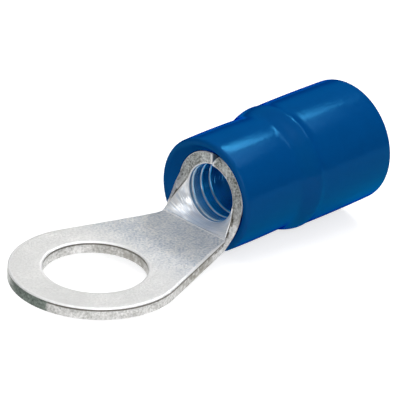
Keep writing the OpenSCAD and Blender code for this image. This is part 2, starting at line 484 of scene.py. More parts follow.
def tin_metallic(tree, masks):
    """Less metallic near the neck, more in the barrel, and hardly at all on its cut rim."""
    strip = spread(tree, masks["near_neck"], *METALLIC)
    bare = maths(tree, "ADD", strip, spread(tree, masks["barrel"], 0.0, BARREL_METALLIC))
    matt_rim = maths(tree, "MULTIPLY", masks["barrel"], masks["rim"])
    return maths(tree, "MULTIPLY", bare, spread(tree, matt_rim, 1, RIM_METALLIC))


print("the tin is metallic by", METALLIC[0], "on the ring and", METALLIC[1], "at the neck")

# %% [markdown]
# ## The tin, put together
# Colour, gloss, metal and relief all follow the same masks, so each mask is made once and handed
# to all four. Four materials on four regions could give the same picture, but every border
# between them would have to be hidden. The satin gloss is a pair too: the ground and the
# crystals on it.
# %% Tin finish
FROST_GRAIN = {"grain_mm": 0.26, "contrast": 3.2, "blotches": 0.25}
STAIN_GRAIN = {"grain_mm": 0.9, "contrast": 3.0, "blotches": 0.6}
SATIN, BURNISHED, POLISHED = (0.48, 0.36), 0.22, 0.16
TIN_RELIEF = 0.15


def make_tin():
    material, tree, shader = start_material("tinned_copper")
    place = place_mm(tree)
    along = add_node(tree, "ShaderNodeSeparateXYZ", {0: place}).outputs["X"]
    masks = barrel_masks(tree, place, along)
    masks.update(strip_masks(tree, along, masks["barrel"]))
    frost = add_grain(tree, place, **FROST_GRAIN)
    stains = add_grain(tree, place, **STAIN_GRAIN)
    marks = drawing_marks(tree, place)

    strip = strip_colour(tree, masks, frost["Mask"], stains["Mask"], marks)
    skin = tint(tree, masks["barrel"], strip, barrel_colour(tree, masks))
    # Painted highlight on the rounded edges and the bend line.
    tree.links.new(tint(tree, masks["highlighted_edges"], skin, EDGE_HIGHLIGHT), shader.inputs["Base Color"])

    satin = spread(tree, frost["Mask"], *SATIN)
    gloss = blend(tree, masks["barrel"], blend(tree, masks["drawn"], satin, BURNISHED), POLISHED)
    tree.links.new(gloss, shader.inputs["Roughness"])
    tree.links.new(tin_metallic(tree, masks), shader.inputs["Metallic"])
    add_bump(tree, shader, tin_height(tree, masks, frost["Height"], marks), 1.0, TIN_RELIEF)
    return material


tin = make_tin()
print("made", tin.name, "with", len(tin.node_tree.nodes), "nodes")

# %% [markdown]
# ## Marks on the sheared edge
# The punch shears through the strip and tears the lower part of the cut, so the edge is rougher
# than the faces. Under its rounded upper lip a thin dark line is painted, a painted dark
# reflection. Beside the neck the edge is stained, and close to the barrel small pieces have
# torn out. These marks could be modelled, but they are much finer than the mesh. A value stored
# on the mesh runs from 0 at the lower rim of the cut to 1 at the upper one and places them as
# colour.
# %% Masks over the cut
TIP_X_FADE, TIP_CUT_FADE, TIP_FAR_FADE = (-6.0, -5.6), (-2.2, -1.8), (2.5, 6.5)
TIP_RAGGED = 0.35
# The dark line under the lip is a painted dark reflection.
LIP_FADE, LIP_DARK_REFLECTION = (0.80, 0.88), 0.9
BURST_X_FADE, BURST_FADE, BURST_LEVEL_FADE = (9.5, 12.0), (0.49, 0.54), (0.55, 0.75)
STAIN_START, STAIN_END, STAIN_FADE, LEAST_STAIN = (2.5, 6.5), (10.0, 12.0), (0.4, 0.6), 0.3


def dark_reflection_tip_mask(tree, x, y, torn):
    """The painted dark reflection on the tip of the ring, ragged on one side and faded on the
    other.
    """
    tip = fade_out(tree, x, TIP_X_FADE)
    ragged = maths(tree, "ADD", y, spread(tree, torn, -TIP_RAGGED, TIP_RAGGED))
    cut = fade_in(tree, ragged, TIP_CUT_FADE)
    faded = fade_out(tree, y, TIP_FAR_FADE, smooth=True)
    return maths(tree, "MULTIPLY", tip, maths(tree, "MULTIPLY", cut, faded))


def dark_mask(tree, x, mouth, level, patches):
    """The painted dark reflection under the lip, and the torn places by the neck."""
    by_neck = maths(tree, "MULTIPLY", fade_in(tree, x, BURST_X_FADE), fade_out(tree, mouth))
    burst = maths(tree, "MULTIPLY", fade_in(tree, patches, BURST_FADE),
                  fade_in(tree, level, BURST_LEVEL_FADE))
    # Painted dark reflection under the lip.
    under_lip = maths(tree, "MULTIPLY", fade_in(tree, level, LIP_FADE), LIP_DARK_REFLECTION)
    return maths(tree, "MAXIMUM", under_lip, maths(tree, "MULTIPLY", by_neck, burst))


def stain_mask(tree, x, patches):
    """The stained stretch between ring and neck."""
    flank = maths(tree, "MULTIPLY", fade_in(tree, x, STAIN_START), fade_out(tree, x, STAIN_END))
    return maths(tree, "MULTIPLY", flank, spread(tree, patches, LEAST_STAIN, 1.0, STAIN_FADE))


# The dark tip is a painted dark reflection.
print("the bare tip fades out at x =", TIP_X_FADE, "and y =", TIP_CUT_FADE)

# %% [markdown]
# ## The sheared edge
# Two stretches get a painted dark reflection: the tip of the ring, greenish grey, and the face
# round the mouth of the barrel, olive with bright scratches and darker towards its top. They
# could be materials of their own, but their borders are ragged or soft, and masks draw them
# that way.
# %% Sheared finish
TORN_GRAIN = {"grain_mm": 0.24, "contrast": 3.6, "blotches": 0.35}
PATCHES_PER_MM = 2.2
EDGE_DARK, EDGE_LIGHT = (0.45, 0.45, 0.43), (0.93, 0.92, 0.91)
# A painted dark reflection on the tip of the ring.
TIP_REFLECTION_DARK, TIP_REFLECTION_LIGHT = (0.05, 0.075, 0.06), (0.24, 0.28, 0.25)
# A painted dark reflection on the face round the mouth, with bright scratches.
MOUTH_REFLECTION_DARK, MOUTH_REFLECTION_LIGHT = (0.08, 0.085, 0.07), (0.66, 0.68, 0.66)
# The dark tone serves the torn places and the painted dark reflection under the lip.
STAIN, TEAR_AND_LIP_REFLECTION = (0.30, 0.28, 0.24), (0.10, 0.09, 0.07)
CUT_FADE = (MOUTH_X - 0.35, MOUTH_X - 0.05)
# How the painted dark reflection on the mouth face grows with height.
DARK_REFLECTION_HEIGHTS, LEAST_DARK_REFLECTION = (1.2, 6.4), 0.1
SHEARED_GLOSS, SHEARED_METALLIC, SHEARED_RELIEF = (0.6, 0.38), 0.6, 0.1


def make_sheared():
    material, tree, shader = start_material("sheared_edge")
    place = place_mm(tree)
    x, y, z = add_node(tree, "ShaderNodeSeparateXYZ", {0: place}).outputs
    torn = add_grain(tree, place, **TORN_GRAIN)
    patches = add_node(tree, "ShaderNodeTexNoise", {
        "Vector": place, "Scale": PATCHES_PER_MM, "Detail": 3.0}).outputs[0]
    mouth = fade_in(tree, x, CUT_FADE)
    # The painted dark reflection on the face round the mouth, darker towards its top.
    bare = maths(tree, "MULTIPLY", mouth, spread(tree, z, LEAST_DARK_REFLECTION, 1, DARK_REFLECTION_HEIGHTS, smooth=True))
    dark = dark_mask(tree, x, mouth, stored(tree, "wall_level"), patches)
    stained = stain_mask(tree, x, patches)

    edge = tint(tree, torn["Mask"], EDGE_DARK, EDGE_LIGHT)
    # Torn places and the painted dark reflection under the lip.
    edge = tint(tree, dark, tint(tree, stained, edge, STAIN), TEAR_AND_LIP_REFLECTION)
    # Painted dark reflection on the tip of the ring.
    tip = tint(tree, torn["Mask"], TIP_REFLECTION_DARK, TIP_REFLECTION_LIGHT)
    # Painted dark reflection on the mouth face, with bright scratches.
    mouth_reflection = tint(tree, torn["Mask"], MOUTH_REFLECTION_DARK, MOUTH_REFLECTION_LIGHT)
    edge = tint(tree, dark_reflection_tip_mask(tree, x, y, torn["Mask"]), edge, tip)
    tree.links.new(tint(tree, bare, edge, mouth_reflection), shader.inputs["Base Color"])
    tree.links.new(spread(tree, torn["Mask"], *SHEARED_GLOSS), shader.inputs["Roughness"])
    shader.inputs["Metallic"].default_value = SHEARED_METALLIC
    add_bump(tree, shader, torn["Height"], 1.0, SHEARED_RELIEF)
    return material


sheared = make_sheared()
print("made", sheared.name, "with", len(sheared.node_tree.nodes), "nodes")

# %% [markdown]
# ## Blue plastic
# The sleeve is moulded in a deep blue. The colour lies in the plastic, and its shine is
# coloured too, which a plain Principled surface cannot do: its shine is white at a low angle. A
# clear coat that bends no light adds no shine of its own but acts as a blue filter over all that
# comes from below, so it tints body and shine together. The mould left faint clouds in the
# gloss.
# %% Plastic finish
CLOUD_GRAIN = {"grain_mm": 0.4, "contrast": 1.6, "blotches": 0.6}
BLUE_DARK, BLUE_LIGHT = (0.0, 0.094, 0.255), (0.0, 0.104, 0.285)
PLASTIC_GLOSS = (0.12, 0.19)
PLASTIC_BUMP, PLASTIC_RELIEF = 0.5, 0.03
PLASTIC_SETTINGS = {
    "Specular IOR Level": 0.3,
    "Specular Tint": (1.0, 0.32, 0.55, 1),
    "Coat Weight": 1.0,
    "Coat IOR": 1.0,
    "Coat Tint": (0.17, 0.74, 0.93, 1),
}


def make_plastic():
    material, tree, shader = start_material("blue_insulation")
    cloud = add_grain(tree, place_mm(tree), **CLOUD_GRAIN)
    colour = tint(tree, cloud["Mask"], BLUE_DARK, BLUE_LIGHT)
    tree.links.new(colour, shader.inputs["Base Color"])
    tree.links.new(spread(tree, cloud["Mask"], *PLASTIC_GLOSS), shader.inputs["Roughness"])
    for name, value in PLASTIC_SETTINGS.items():
        shader.inputs[name].default_value = value
    add_bump(tree, shader, cloud["Height"], PLASTIC_BUMP, PLASTIC_RELIEF)
    return material


plastic = make_plastic()
print("made", plastic.name, "with", len(plastic.node_tree.nodes), "nodes")

# %% [markdown]
# ## Outlines, and the same outlines moved inwards
# A stamped edge is never a knife edge: the punch draws the face down a little before it cuts.
# A Bevel modifier could round it, but here the rounding changes its width along the edge, and
# that is simpler with points. The outline is needed several times, each copy a bit further in.
# So every point of the outline is kept together with the direction that leads inwards from it,
# and a copy is made by moving all points along their directions. Two kinds of run are enough
# for this outline: arcs and straight lines.
# %% Arcs and straight runs
SPACING = 0.22
FEWEST_STEPS = 4


def arc_run(centre, radius, start, end, outward):
    """Points of an arc and their inward directions; outward is -1 for a concave arc."""
    count = max(FEWEST_STEPS, round(abs(end - start) * radius / SPACING))
    turns = [start + (end - start) * i / count for i in range(count + 1)]
    unit = [np.array((math.cos(a), math.sin(a))) for a in turns]
    return [(np.array(centre) + radius * u, -outward * u) for u in unit]


def straight_run(start, end, inward):
    """Points between start and end, without the ends."""
    count = round(math.dist(start, end) / SPACING)
    return [(start + (end - start) * i / count, np.array(inward)) for i in range(1, count)]


quarter = arc_run((0, 0), RING_R, 0, math.pi / 2, 1)
print("a quarter of the ring has", len(quarter), "points")

# %% [markdown]
# ## Outline of the blank
# The outline runs from the ring's far point over its arc, the straight side, the fillet, the
# shoulder of the tail and its side to the middle of the end. It could be one list of points typed
# in, but worked out from the sizes it follows when one of them changes. The other half is the
# same run mirrored, with its own fillet.
# %% Outline of the blank
def half_outline(side):
    """From the ring's far point along one side to the middle of the tail's end."""
    radius = FILLET_R[side]
    centre_x = MOUTH_X - radius
    centre_y = NECK_Y + (centre_x - NECK_X) * math.tan(SIDE_ANGLE) + radius / math.cos(SIDE_ANGLE)
    ring = arc_run((0, 0), RING_R, math.pi, LEAVE_ANGLE, 1)
    fillet = arc_run((centre_x, centre_y), radius, SIDE_ANGLE - math.pi / 2, 0, -1)
    corner = np.array((MOUTH_X, HALF_TAIL))
    rear = np.array((BARREL_END, HALF_TAIL))
    middle = np.array((BARREL_END, 0))
    run = ring + straight_run(ring[-1][0], fillet[0][0], ring[-1][1]) + fillet
    run += straight_run(fillet[-1][0], corner, (1, 0)) + [(corner, np.array((1, -1)))]
    run += straight_run(corner, rear, (0, -1)) + [(rear, np.array((-1, -1)))]
    run += straight_run(rear, middle, (-1, 0)) + [(middle, np.array((-1, 0)))]
    return [(point * (1, side), inward * (1, side)) for point, inward in run]


def join_halves():
    left, right = half_outline(1), half_outline(-1)
    return left + right[-2:0:-1]


def hole_outline():
    return [(point, -inward) for point, inward in arc_run((0, 0), HOLE_R, 0, 2 * math.pi, 1)[:-1]]


blank_edge, hole_edge = join_halves(), hole_outline()
blank_line, hole_line = ([point for point, _ in edge] for edge in (blank_edge, hole_edge))
print("points round the blank:", len(blank_edge), "and round the hole:", len(hole_edge))

# %% [markdown]
# ## Rolling the blank
# On the press the tail is rolled over a mandrel. A Simple Deform modifier can bend a sheet, but
# only all of it at one rate, while here the bend starts at the neck line and is a full circle at
# the mouth of the barrel. So the rolling is a formula. Every point of the blank has a place
# along the part, a distance from its middle line and a height in the thickness, and the
# cross-section through it is bent into an arc of the same length.
# %% Roll a point up
LEAST_CURVE = 1e-9
FLAT_SHARE = 1e-6


def rolled_share(x):
    """0 on the flat tongue, 1 from the mouth of the barrel on."""
    return np.clip((x - NECK_X) / (MOUTH_X - NECK_X), 0, 1)


def roll_up(x, s, h):
    """x along, s across and h above the middle of the sheet, to x, y and z, all in mm."""
    rolled = rolled_share(x)
    curve = np.maximum(rolled / MID_R, LEAST_CURVE)
    turn = s * curve
    middle = TONGUE_T / 2 + (AXIS_Z - MID_R - TONGUE_T / 2) * rolled
    y = np.sin(turn) / curve - h * np.sin(turn)
    z = middle + (1 - np.cos(turn)) / curve + h * np.cos(turn)
    flat = rolled < FLAT_SHARE
    return np.stack([x, np.where(flat, s, y), np.where(flat, middle + h, z)], 1)


tail_edge = roll_up(np.array([MOUTH_X]), np.array([HALF_TAIL]), np.array([0.0]))[0]
print("rolled up, the edge of the tail comes to", tail_edge.round(2))

# %% [markdown]
# ## Relief of the faces
# Three tools leave their mark on the faces. Three shallow grooves run across the tail, on the
# side that becomes the bore, and bite into the strands when the barrel is crimped. The bending
# tool leaves a fine ridge on the neck line. And one edge of the seam is turned down where the
# two edges met, which leaves the notch along the top of the barrel. They could be cut with
# Boolean modifiers after the rolling, but on the flat blank each is one line of arithmetic
# that lowers a point of the face.
# %% Grooves, ridge and notch
RIDGE_HALF, RIDGE_HEIGHT = 0.13, 0.065
NOTCH_WIDTH, NOTCH_DEPTH = 0.65, 1.0
FLAT_END, FLAT_RISE = 2.4, 0.12
BARREL_FROM = MOUTH_X - 0.01
groove_xs = MOUTH_X + GROOVE_FIRST + GROOVE_PITCH * np.arange(GROOVE_COUNT)


def ease(t):
    """A smooth step from 0 to 1."""
    t = np.clip(t, 0, 1)
    return t * t * (3 - 2 * t)


def bore_relief(x, s):
    """How far the face that becomes the bore lies below its plain level."""
    near = np.min(np.abs(np.subtract.outer(x, groove_xs)), axis=1)
    cut = GROOVE_DEPTH * np.clip((GROOVE_HALF - near) / (GROOVE_HALF - GROOVE_FLOOR), 0, 1)
    ridge = RIDGE_HEIGHT * ease(1 - np.abs(x - NECK_X) / RIDGE_HALF)
    flattened = FLAT_RISE * ease((s - HALF_TAIL + FLAT_END) / FLAT_END) * (x > BARREL_FROM)
    return cut - ridge + flattened


def outer_relief(x, s):
    """How far the outer face is turned down along the seam, on its -Y side."""
    into = (-s - HALF_TAIL + NOTCH_WIDTH) / NOTCH_WIDTH
    return NOTCH_DEPTH * np.clip(into, 0, 1) * (x > BARREL_FROM)


print("grooves at, mm:", groove_xs.round(2))

# %% [markdown]
# ## Rows of points
# The relief only shows where there are points to carry it. An even grid could be fine enough
# for the grooves, but then the plain faces would have just as many points. So rows are laid
# along the edges of each groove, on both sides of the ridge and close together in the neck,
# where the metal bends. The rest of the barrel needs fewer.
# %% Rows along the part
ROW_STEP, NECK_ROWS = 0.24, 15
RIDGE_ROWS = (-1.6, -1, -0.66, -0.33, 0, 0.33, 0.66, 1)
BETWEEN_ROWS = (0.3, 0.4, 0.5, 0.6, 0.7)
GROOVE_SIDE = (GROOVE_FLOOR, (GROOVE_FLOOR + GROOVE_HALF) / 2, GROOVE_HALF, GROOVE_HALF + 0.07)
END_CLEAR = 0.1


def rows_along():
    rows = [NECK_X + RIDGE_HALF * share for share in RIDGE_ROWS]
    rows += list(np.linspace(NECK_X + 2 * RIDGE_HALF, MOUTH_X, NECK_ROWS))
    for groove in groove_xs:
        rows += [groove - t for t in reversed(GROOVE_SIDE)] + [groove]
        rows += [groove + t for t in GROOVE_SIDE]
        rows += [groove + GROOVE_PITCH * share for share in BETWEEN_ROWS]
    rows += list(np.arange(groove_xs[-1] + GROOVE_PITCH, BARREL_END - END_CLEAR, ROW_STEP))
    return [row for row in rows if row < BARREL_END - END_CLEAR]


print("rows along the part:", len(rows_along()))

# %% [markdown]
# ## Which points lie in the metal
# The rows are laid over a plain rectangle, so many of their points miss the metal or come too
# near to its border. Blender's ray tests could sort them out, but they need a mesh, and there
# is none yet. A point lies inside a closed line if a ray from it crosses the line an odd number
# of times. Both tests work through the points in parts, to save memory.
# %% Tests against an outline
PART_SIZE = 2000


def in_parts(points):
    return np.array_split(points, max(1, len(points) // PART_SIZE))


def distance_to(line, points):
    """Distance of each point from a closed line."""
    a = np.array(line)
    d = np.roll(a, -1, axis=0) - a
    best = []
    for part in in_parts(points):
        p = part[:, None, :] - a
        t = np.clip((p * d).sum(2) / (d * d).sum(1), 0, 1)
        best.append(np.sqrt(((p - t[..., None] * d) ** 2).sum(2)).min(1))
    return np.concatenate(best)


def is_inside(line, points):
    """True for each point inside a closed line."""
    a = np.array(line)
    b = np.roll(a, -1, axis=0)
    result = []
    for part in in_parts(points):
        px, py = part[:, 0, None], part[:, 1, None]
        with np.errstate(divide="ignore", invalid="ignore"):
            at = a[:, 0] + (py - a[:, 1]) * (b[:, 0] - a[:, 0]) / (b[:, 1] - a[:, 1])
        result.append((((a[:, 1] > py) != (b[:, 1] > py)) & (px < at)).sum(1) % 2 == 1)
    return np.concatenate(result)


def is_metal(points):
    """True for each point inside the blank's outline and outside its stud hole."""
    return is_inside(blank_line, points) & ~is_inside(hole_line, points)


tried = np.array([(0, 0), (NECK_X, 0)])
print("metal at the centre of the hole, and at the neck:", is_metal(tried))

# %% [markdown]
# ## Points inside the outline
# The rows are crossed with even steps over the width of the tail, and three more steps carry
# the notch beside the seam. The flat tongue could do without any inner points, but then its
# triangles would be long needles, which shade badly, so it gets a wide grid.
# %% Inner points
FLAT_STEP, FLAT_CLEAR = 0.6, 0.5
NOTCH_ROWS, FIRST_ACROSS = (1, 0.66, 0.4), 1


def inner_points(margin):
    """Points of the blank that keep that far from its border."""
    across = list(np.arange(-HALF_TAIL + FIRST_ACROSS, HALF_TAIL, ROW_STEP))
    across += [-HALF_TAIL + NOTCH_WIDTH * share for share in NOTCH_ROWS]
    points = [(x, s) for x in rows_along() for s in across]
    flat = np.arange(-RING_R, NECK_X - FLAT_CLEAR, FLAT_STEP)
    points += [(x, s) for x in flat for s in np.arange(-RING_R, RING_R, FLAT_STEP)]
    points = np.array(points)
    points = points[is_metal(points)]
    clear = (distance_to(blank_line, points) > margin) & (distance_to(hole_line, points) > margin)
    return points[clear]


print("points inside, half a millimetre from the border:", len(inner_points(0.5)))

# %% [markdown]
# ## Copies of the outline for the rounding
# The punch draws the edge down over a wide border round the ring and a narrow one from the
# neck on. One copy of the outline could make a flat chamfer, but a chamfer has two hard lines
# where the real edge has none. So several copies are moved in, each by its share of a width
# that depends on the place, and they lie close together at the rim, where the rounding is steep.
# %% Rounded borders
EDGE_TURNS = np.radians([90, 66, 44, 22, 0])
ROUND_CHANGE = 3
WIDE_CLEAR, NARROW_CLEAR = 0.05, 0.07
NARROW_X = NECK_X - 0.4


def round_width(x, ring_width, mouth_width):
    """The rounding is wide round the ring and narrow from the neck on."""
    change = ease((x - NECK_X + ROUND_CHANGE) / ROUND_CHANGE)
    return ring_width + (mouth_width - ring_width) * change


def bordered(edge, turn, widths):
    """A copy of an outline, moved in as far as the rounding has gone at that turn."""
    share = 1 - math.sin(turn)
    return [tuple(p + inward * share * round_width(p[0], *widths)) for p, inward in edge]


def rounded_borders(widths):
    """All copies of both outlines: their points, their closed lines and the turn of each."""
    points, lines, turns = [], [], []
    for edge in (blank_edge, hole_edge):
        for turn in EDGE_TURNS:
            start, line = len(points), bordered(edge, turn, widths)
            points += line
            lines += [(start + i, start + (i + 1) % len(line)) for i in range(len(line))]
            turns += [turn] * len(line)
    return points, lines, turns


def points_within(widths):
    """Inner points that leave room for a rounding which is wide first and narrow later."""
    wide = inner_points(max(widths) + WIDE_CLEAR)
    narrow = inner_points(min(widths) + NARROW_CLEAR)
    return np.concatenate([wide[wide[:, 0] < NARROW_X], narrow[narrow[:, 0] > NARROW_X]])


print("steps of the rounding, degrees:", np.degrees(EDGE_TURNS).round())

# %% [markdown]
# ## Filling the outline with faces
# Each face of the blank is filled with triangles by Delaunay's rule, which makes the most even
# triangles that fit the given points. A grid of quads would be tidier, but it can't follow the
# ring, the fillets and the grooves at once. The copies of the outline go in as lines that have
# to be kept.
# %% Fill one face of the blank
MERGE_WITHIN = 1e-6


def fill_face(widths):
    """Points of the face, triangles, the rounding's turn at each point, and both rims."""
    points, lines, turns = rounded_borders(widths)
    inner = points_within(widths)
    points += [tuple(p) for p in inner]
    turns += [0.0] * len(inner)
    made = delaunay_2d_cdt([Vector(p) for p in points], lines, [], 0, MERGE_WITHIN, True)
    flat = np.array([tuple(v) for v in made[0]])
    source = [origins[0] for origins in made[3]]
    found = {given: index for index, given in enumerate(source)}
    hole_start = len(blank_edge) * len(EDGE_TURNS)
    rims = [[found[i] for i in range(len(blank_edge))],
            [found[hole_start + i] for i in range(len(hole_edge))]]
    triangles = np.array([f for f in made[2] if len(f) == 3])
    triangles = triangles[is_metal(flat[triangles].mean(1))]
    return flat, triangles, np.array([turns[i] for i in source]), rims


def wound(flat, triangles, side):
    """The triangles, turned so that they face out on that side of the sheet."""
    a, b, c = flat[triangles].transpose(1, 0, 2)
    area = (b[:, 0] - a[:, 0]) * (c[:, 1] - a[:, 1]) - (b[:, 1] - a[:, 1]) * (c[:, 0] - a[:, 0])
    return np.where(((area > 0) == (side > 0))[:, None], triangles, triangles[:, ::-1])


print("lines to keep on each face:", len(rounded_borders((0, 0))[1]))

# %% [markdown]
# ## Building the metal
# Both faces are lifted to their height, less the rounding of the edge and the relief, and then
# rolled up together. Quads between the two rims make the sheared wall round the outside and
# inside the stud hole. One face with a Solidify modifier would be shorter, but its two sides
# would have the same rounding and the same relief, and on the real part they differ.
# %% Both faces and the wall between them
TOP_ROUND = {"widths": (0.36, 0.12), "depth": 0.13}
UNDER_ROUND = {"widths": (0.14, 0.10), "depth": 0.09}


def build_face(side, rounding, relief):
    """One face of the blank, rolled up; side is 1 for the inner face and -1 for the outer."""
    flat, triangles, turns, rims = fill_face(rounding["widths"])
    x, s = flat.T
    half = (TONGUE_T + (WALL - TONGUE_T) * rolled_share(x)) / 2
    level = half - relief(x, s) - rounding["depth"] * (1 - np.cos(turns))
    return roll_up(x, s, side * level), wound(flat, triangles, side), rims, np.sin(turns)


def wall_between(above, below):
    """A ring of quads between two rims."""
    pairs = list(zip(above, below))
    return [(a, b, d, c) for (a, c), (b, d) in zip(pairs, pairs[1:] + pairs[:1])]


def build_terminal():
    """Points, faces, wall quads, and the values to store on the points."""
    top, top_faces, top_rims, top_bend = build_face(1, TOP_ROUND, bore_relief)
    under, under_faces, under_rims, under_bend = build_face(-1, UNDER_ROUND, outer_relief)
    walls = []
    for above, below in zip(top_rims, under_rims):
        walls += wall_between(above, [len(top) + i for i in below])
    faces = [*map(tuple, top_faces), *map(tuple, under_faces + len(top))]
    marks = {"wall_level": np.repeat([1.0, 0.0], [len(top), len(under)]),
             "edge_bend": np.concatenate([top_bend, under_bend])}
    return np.concatenate([top, under]), faces, walls, marks


verts, faces, walls, marks = build_terminal()
print("faces of the blank:", len(faces), "and quads of its wall:", len(walls))

# %% [markdown]
# ## From numbers to a mesh
# Both parts reach Blender the same way. Their points are scaled to metres, all faces are turned
# outwards and shaded smooth, and only edges with a sharp bend are marked as sharp. Flat shading
# with far more faces could do without the marks, but the round parts would show facets. The
# helper counts open edges and measures the volume, because a real part has no holes in its skin.
# %% Make a mesh object
def mesh_object(name, verts, faces, materials, indices, sharp):
    """A piece from points in millimetres; sharp is the least bend of a sharp edge, degrees."""
    mesh = bpy.data.meshes.new(name)
    mesh.from_pydata([tuple(v * MM) for v in verts], [], [tuple(int(i) for i in f) for f in faces])
    for material in materials:
        mesh.materials.append(material)
    mesh.polygons.foreach_set("material_index", indices)
    mesh.polygons.foreach_set("use_smooth", [True] * len(mesh.polygons))
    shape = bmesh.new()
    shape.from_mesh(mesh)
    bmesh.ops.recalc_face_normals(shape, faces=shape.faces)
    loose = sum(not edge.is_manifold for edge in shape.edges)
    volume = shape.calc_volume() / MM ** 3
    shape.to_mesh(mesh)
    shape.free()
    mesh.set_sharp_from_angle(angle=math.radians(sharp))
    piece = bpy.data.objects.new(name, mesh)
    bpy.context.scene.collection.objects.link(piece)
    print(name, "has", len(mesh.polygons), "faces,", loose, "open edges,", round(volume, 1), "mm3")
    return piece


# %% [markdown]
# ## The finished terminal
# The faces are tin and the wall is sheared metal, apart from the two edges that meet in the
# seam: they were tinned too. They could be told apart by hand in Edit Mode, but a rule finds
# them in every run: they lie on top of the barrel, close to its middle. The values for the
# masks of the finishes are stored on the points here.
# %% Make the terminal
SEAM_REACH = 0.3
TERMINAL_SHARP = 38


def is_on_seam(quad):
    """True for a quad of the wall that lies in the seam."""
    in_middle = np.all(np.abs(verts[list(quad), 1]) < SEAM_REACH)
    return bool(in_middle and verts[quad[0]][2] > AXIS_Z)


skins = [0] * len(faces) + [0 if is_on_seam(quad) else 1 for quad in walls]
terminal = mesh_object("stamped_terminal", verts, faces + walls, [tin, sheared], skins,
                       sharp=TERMINAL_SHARP)
for name, values in marks.items():
    terminal.data.attributes.new(name, "FLOAT", "POINT").data.foreach_set("value", values)
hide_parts("terminal")
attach(terminal, "root")
print("stored on its points:", *marks)

# %% [markdown]
# ## The moulded sleeve
# The sleeve is one plastic moulding: a front section on the barrel, a shoulder, a wider rear
# section for the wire, and inside a collar for the end of the barrel with a funnel behind it.
# It is round all the way, so its profile is drawn once and turned about the barrel's axis. It
# could be stacked from cylinders, but then the soft shoulder and its low bead would be lost.
# Both sections are crowned by a few hundredths of a millimetre, as mouldings are.
# %% Sizes of the sleeve
WIRE_R = mounts["wire_bore"]["dims"]["r_mm"]
BEAD = 0.06
BEAD_RUN = ((0.2, 1), (0.4, 0.5), (0.6, 0))
REAR_R = float(sleeve_high[2] - sleeve_low[2]) / 2 - BEAD
FRONT_R = 6.07
SEAT_GAP = 0.05
SEAT_R = BARREL_R + SEAT_GAP
LIP_X, END_X = float(sleeve_low[0]), float(sleeve_high[0])
SHOULDER_X = LIP_X + 7.9
REAR_X = SHOULDER_X + 2.5
LIP_R, LIP_CREST, RIM_R = 0.42, 0.05, 0.25
COLLAR_X = BARREL_END + SEAT_GAP
FUNNEL_X, FUNNEL_END = COLLAR_X + 0.5, COLLAR_X + 2.7
CROWN = 0.05
print("the sleeve starts at x =", round(LIP_X, 2), "and its shoulder at x =", round(SHOULDER_X, 2))

# %% [markdown]
# ## Runs of a profile
# A profile is a list of points, each a distance from the axis and a place along it. Bezier
# curves could draw it, but their handles say nothing about sizes. Three kinds of run are
# enough: an arc, a straight run in even steps, and a run that swells into a flat arch.
# %% Arcs and runs
def profile_arc(radius_at, x_at, r, start, end, count=6):
    """An arc round (radius_at, x_at), its angles in degrees."""
    turns = np.radians(np.linspace(start, end, count + 1))
    return [(radius_at + r * math.cos(t), x_at + r * math.sin(t)) for t in turns]


def run_to(profile, end, count):
    """Adds even steps from the last point to the next one."""
    start = np.array(profile[-1])
    profile += [tuple(start + (np.array(end) - start) * i / count) for i in range(1, count + 1)]


def run_crowned(profile, end_x, count):
    """Adds steps of a flat arch that starts and ends on the last point's radius."""
    radius, start_x = profile[-1]
    for i in range(1, count + 1):
        share = i / count
        rise = CROWN * 4 * share * (1 - share)
        profile.append((radius + rise, start_x + (end_x - start_x) * share))


crowned = [(FRONT_R, LIP_X)]
run_crowned(crowned, SHOULDER_X, 2)
print("the front section swells from", FRONT_R, "to", round(crowned[1][0], 2), "mm")

# %% [markdown]
# ## The profile of the sleeve
# The profile runs once round the wall: out of the seat over the rounded lip, along the front,
# up the shoulder in half a wave with the bead on top, along the rear, round its rim, and back
# inside through wire bore, funnel and collar. It is one list from start to end, because a
# closed line leaves no gap in the wall.
# %% Profile of the sleeve
FRONT_STEPS, SHOULDER_STEPS, REAR_STEPS = 16, 16, 18
SEAT_X = MOUTH_X + SEAT_GAP


def add_outside(profile):
    """From the lip to the rim of the rear section."""
    profile += profile_arc(FRONT_R - LIP_R, LIP_X + LIP_R, LIP_R, 276, 360, count=10)
    run_crowned(profile, SHOULDER_X, FRONT_STEPS)
    for t in np.linspace(0, 1, SHOULDER_STEPS + 1)[1:]:
        step = (REAR_R - FRONT_R) * (1 - math.cos(math.pi * t)) / 2
        profile.append((FRONT_R + step + BEAD * t ** 3, SHOULDER_X + (REAR_X - SHOULDER_X) * t))
    profile += [(REAR_R + BEAD * share, REAR_X + past) for past, share in BEAD_RUN]
    run_crowned(profile, END_X - RIM_R, REAR_STEPS)
    profile += profile_arc(REAR_R - RIM_R, END_X - RIM_R, RIM_R, 10, 90)


def add_inside(profile):
    """From the rim of the wire bore to the seat of the barrel."""
    profile += profile_arc(WIRE_R + RIM_R, END_X - RIM_R, RIM_R, 100, 180)
    run_to(profile, (WIRE_R, FUNNEL_END), count=10)
    run_to(profile, (BORE_R, FUNNEL_X), count=5)
    run_to(profile, (BORE_R, COLLAR_X), count=1)
    run_to(profile, (SEAT_R, COLLAR_X), count=2)
    run_to(profile, (SEAT_R, SEAT_X), count=12)


def sleeve_profile():
    profile = [(SEAT_R, SEAT_X)]
    lip_in = profile_arc(FRONT_R - LIP_R - LIP_CREST, LIP_X + LIP_R, LIP_R, 240, 270)
    run_to(profile, lip_in[0], count=5)
    profile += lip_in[1:]
    add_outside(profile)
    add_inside(profile)
    return profile[:-1]


print("points round the sleeve's wall:", len(sleeve_profile()))

# %% [markdown]
# ## Turning the profile
# A mould for such a sleeve is turned on a lathe, and the mesh is made the same way: the profile
# is copied round the axis and the copies are joined by quads. A Screw modifier does this too,
# but here the last copy is joined to the first one by number, so there is no seam to merge.
# %% Build the sleeve
SLEEVE_SIDES = 160
SLEEVE_SHARP = 35


